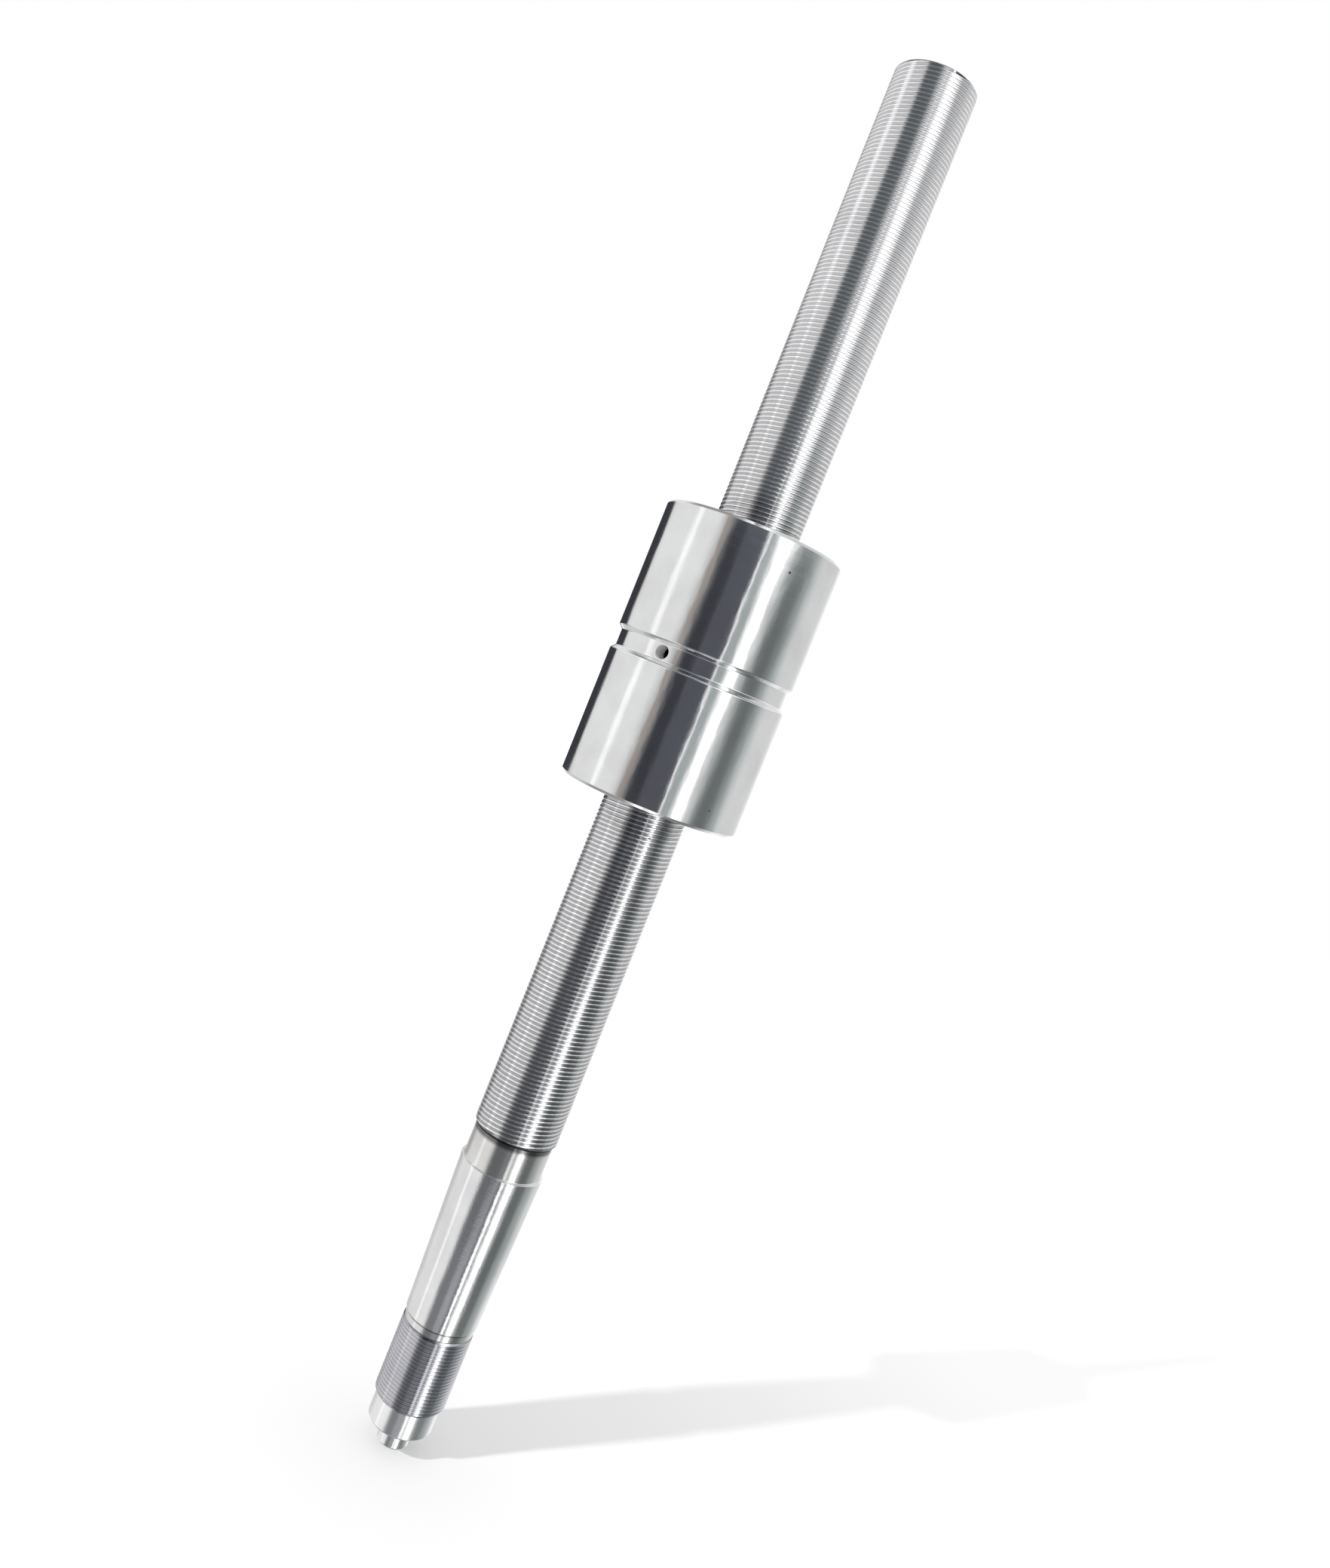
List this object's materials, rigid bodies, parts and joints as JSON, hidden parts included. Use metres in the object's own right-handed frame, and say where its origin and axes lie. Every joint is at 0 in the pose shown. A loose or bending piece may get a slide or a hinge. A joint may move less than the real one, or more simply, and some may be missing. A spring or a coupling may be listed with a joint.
{
  "type": "planetary roller screw",
  "caption": "Planetary roller screw: a long fine-threaded steel shaft with a stepped, tapered end, and a plain cylindrical nut with an oil groove that travels along it as it turns.",
  "frame": {"origin": "centre of the tip of the shaft's stepped end", "axes": "+Z along the screw axis, from the tip to the threaded end; +X towards the nut's first roller"},
  "size_m": [0.05, 0.05, 0.3935],
  "materials": {
    "screw_steel": "ground",
    "nut_steel": "polished",
    "gear_steel": "machined",
    "carrier_steel": "turned",
    "washer_steel": "ground",
    "spring_steel": "oiled spring steel",
    "roller_steel": "ground"
  },
  "bodies": {
    "screw": {"screw_shaft": "screw_steel"},
    "washers": {"thrust_washer_lower": "washer_steel", "thrust_washer_upper": "washer_steel"},
    "nut": {"nut_body": "nut_steel", "ring_gear_lower": "gear_steel", "ring_gear_upper": "gear_steel", "snap_ring_lower": "spring_steel", "snap_ring_upper": "spring_steel"},
    "cage": {"carrier_lower": "carrier_steel", "carrier_upper": "carrier_steel"},
    "roller_01": {"roller_01": "roller_steel"},
    "roller_02": {"roller_02": "roller_steel"},
    "roller_03": {"roller_03": "roller_steel"},
    "roller_04": {"roller_04": "roller_steel"},
    "roller_05": {"roller_05": "roller_steel"},
    "roller_06": {"roller_06": "roller_steel"},
    "roller_07": {"roller_07": "roller_steel"},
    "roller_08": {"roller_08": "roller_steel"},
    "roller_09": {"roller_09": "roller_steel"},
    "roller_10": {"roller_10": "roller_steel"}
  },
  "joints": [
    {"name": "nut_travel", "type": "slide", "parent": "screw", "child": "washers", "axis": [0, 0, 1], "range_m": [-0.09, 0.126]},
    {"name": "nut_turn", "type": "hinge", "parent": "washers", "child": "nut", "pos_m": [0, 0, 0.22495], "axis": [0, 0, 1], "range_deg": [-5400, 7560]},
    {"name": "cage_turn", "type": "hinge", "parent": "washers", "child": "cage", "pos_m": [0, 0, 0.22495], "axis": [0, 0, 1], "range_deg": [-3375, 4725]},
    {"name": "roller_01_spin", "type": "hinge", "parent": "cage", "child": "roller_01", "pos_m": [0.0155, 0, 0.22495], "axis": [0, 0, 1], "range_deg": [-10125, 14175]},
    {"name": "roller_02_spin", "type": "hinge", "parent": "cage", "child": "roller_02", "pos_m": [0.01254, 0.00911, 0.22495], "axis": [0, 0, 1], "range_deg": [-10125, 14175]},
    {"name": "roller_03_spin", "type": "hinge", "parent": "cage", "child": "roller_03", "pos_m": [0.00479, 0.01474, 0.22495], "axis": [0, 0, 1], "range_deg": [-10125, 14175]},
    {"name": "roller_04_spin", "type": "hinge", "parent": "cage", "child": "roller_04", "pos_m": [-0.00479, 0.01474, 0.22495], "axis": [0, 0, 1], "range_deg": [-10125, 14175]},
    {"name": "roller_05_spin", "type": "hinge", "parent": "cage", "child": "roller_05", "pos_m": [-0.01254, 0.00911, 0.22495], "axis": [0, 0, 1], "range_deg": [-10125, 14175]},
    {"name": "roller_06_spin", "type": "hinge", "parent": "cage", "child": "roller_06", "pos_m": [-0.0155, 0, 0.22495], "axis": [0, 0, 1], "range_deg": [-10125, 14175]},
    {"name": "roller_07_spin", "type": "hinge", "parent": "cage", "child": "roller_07", "pos_m": [-0.01254, -0.00911, 0.22495], "axis": [0, 0, 1], "range_deg": [-10125, 14175]},
    {"name": "roller_08_spin", "type": "hinge", "parent": "cage", "child": "roller_08", "pos_m": [-0.00479, -0.01474, 0.22495], "axis": [0, 0, 1], "range_deg": [-10125, 14175]},
    {"name": "roller_09_spin", "type": "hinge", "parent": "cage", "child": "roller_09", "pos_m": [0.00479, -0.01474, 0.22495], "axis": [0, 0, 1], "range_deg": [-10125, 14175]},
    {"name": "roller_10_spin", "type": "hinge", "parent": "cage", "child": "roller_10", "pos_m": [0.01254, -0.00911, 0.22495], "axis": [0, 0, 1], "range_deg": [-10125, 14175]}
  ],
  "couplings": [
    {"joint": "nut_travel", "follows": "nut_turn", "m_per_rad": 0.00095493},
    {"joint": "cage_turn", "follows": "nut_turn", "ratio": 0.625},
    {"joint": "roller_01_spin", "follows": "nut_turn", "ratio": 1.875},
    {"joint": "roller_02_spin", "follows": "nut_turn", "ratio": 1.875},
    {"joint": "roller_03_spin", "follows": "nut_turn", "ratio": 1.875},
    {"joint": "roller_04_spin", "follows": "nut_turn", "ratio": 1.875},
    {"joint": "roller_05_spin", "follows": "nut_turn", "ratio": 1.875},
    {"joint": "roller_06_spin", "follows": "nut_turn", "ratio": 1.875},
    {"joint": "roller_07_spin", "follows": "nut_turn", "ratio": 1.875},
    {"joint": "roller_08_spin", "follows": "nut_turn", "ratio": 1.875},
    {"joint": "roller_09_spin", "follows": "nut_turn", "ratio": 1.875},
    {"joint": "roller_10_spin", "follows": "nut_turn", "ratio": 1.875}
  ]
}
